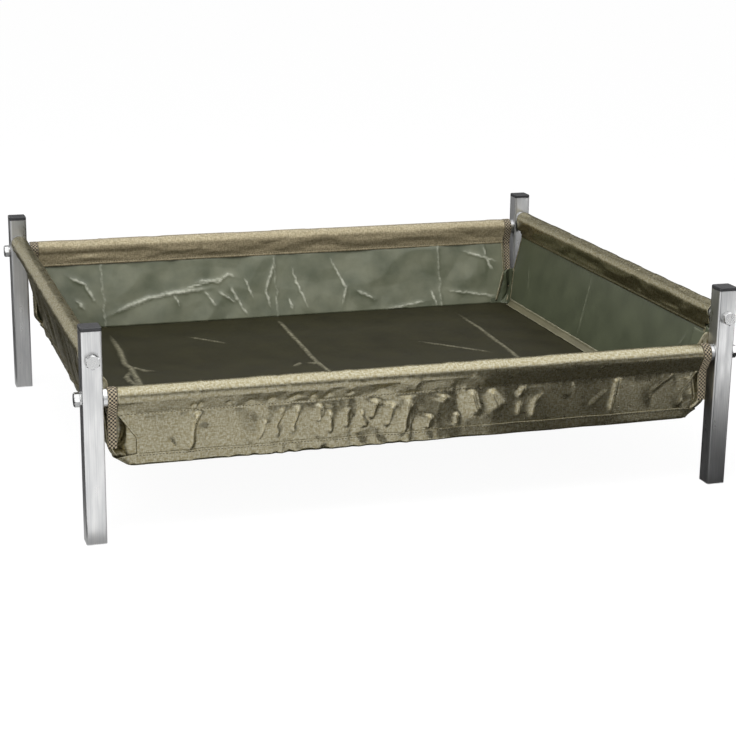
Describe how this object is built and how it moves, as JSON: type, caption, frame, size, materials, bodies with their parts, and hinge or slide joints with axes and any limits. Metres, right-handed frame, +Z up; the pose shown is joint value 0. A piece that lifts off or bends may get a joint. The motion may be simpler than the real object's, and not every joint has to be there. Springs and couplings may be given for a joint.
{
  "type": "raised dog bed",
  "caption": "Raised dog bed: square steel legs carry round rails, with a coated cloth tray hung in sleeves and a low front side to step over.",
  "frame": {"origin": "on the ground under the middle of the bed", "axes": "+X to the right along the low front side, +Y towards the back, +Z up"},
  "size_m": [0.8672, 0.7422, 0.2678],
  "materials": {
    "tube_steel": "bright zinc plated, drawn",
    "fastener_steel": "zinc plated",
    "cap_plastic": "moulded, fine grain",
    "tray_cloth": "woven polyester with a satin coating",
    "strap_webbing": "coarse woven polypropylene webbing"
  },
  "bodies": {
    "root": {"bolt_back_rail_left": "fastener_steel", "bolt_back_rail_right": "fastener_steel", "bolt_front_rail_left": "fastener_steel", "bolt_front_rail_right": "fastener_steel", "bolt_left_rail_back": "fastener_steel", "bolt_left_rail_front": "fastener_steel", "bolt_right_rail_back": "fastener_steel", "bolt_right_rail_front": "fastener_steel", "cap_back_left": "cap_plastic", "cap_back_right": "cap_plastic", "cap_front_left": "cap_plastic", "cap_front_right": "cap_plastic", "floor": "tray_cloth", "gusset_back_left": "tray_cloth", "gusset_back_right": "tray_cloth", "gusset_front_left": "tray_cloth", "gusset_front_right": "tray_cloth", "insert_back_rail_left": "fastener_steel", "insert_back_rail_right": "fastener_steel", "insert_front_rail_left": "fastener_steel", "insert_front_rail_right": "fastener_steel", "insert_left_rail_back": "fastener_steel", "insert_left_rail_front": "fastener_steel", "insert_right_rail_back": "fastener_steel", "insert_right_rail_front": "fastener_steel", "leg_back_left": "tube_steel", "leg_back_right": "tube_steel", "leg_front_left": "tube_steel", "leg_front_right": "tube_steel", "rail_back": "tube_steel", "rail_front": "tube_steel", "rail_left": "tube_steel", "rail_right": "tube_steel", "strap_back_left": "strap_webbing", "strap_back_right": "strap_webbing", "strap_front_left": "strap_webbing", "strap_front_right": "strap_webbing", "wall_back": "tray_cloth", "wall_front": "tray_cloth", "wall_left": "tray_cloth", "wall_right": "tray_cloth", "washer_back_rail_left": "fastener_steel", "washer_back_rail_right": "fastener_steel", "washer_front_rail_left": "fastener_steel", "washer_front_rail_right": "fastener_steel", "washer_left_rail_back": "fastener_steel", "washer_left_rail_front": "fastener_steel", "washer_right_rail_back": "fastener_steel", "washer_right_rail_front": "fastener_steel"}
  },
  "joints": []
}
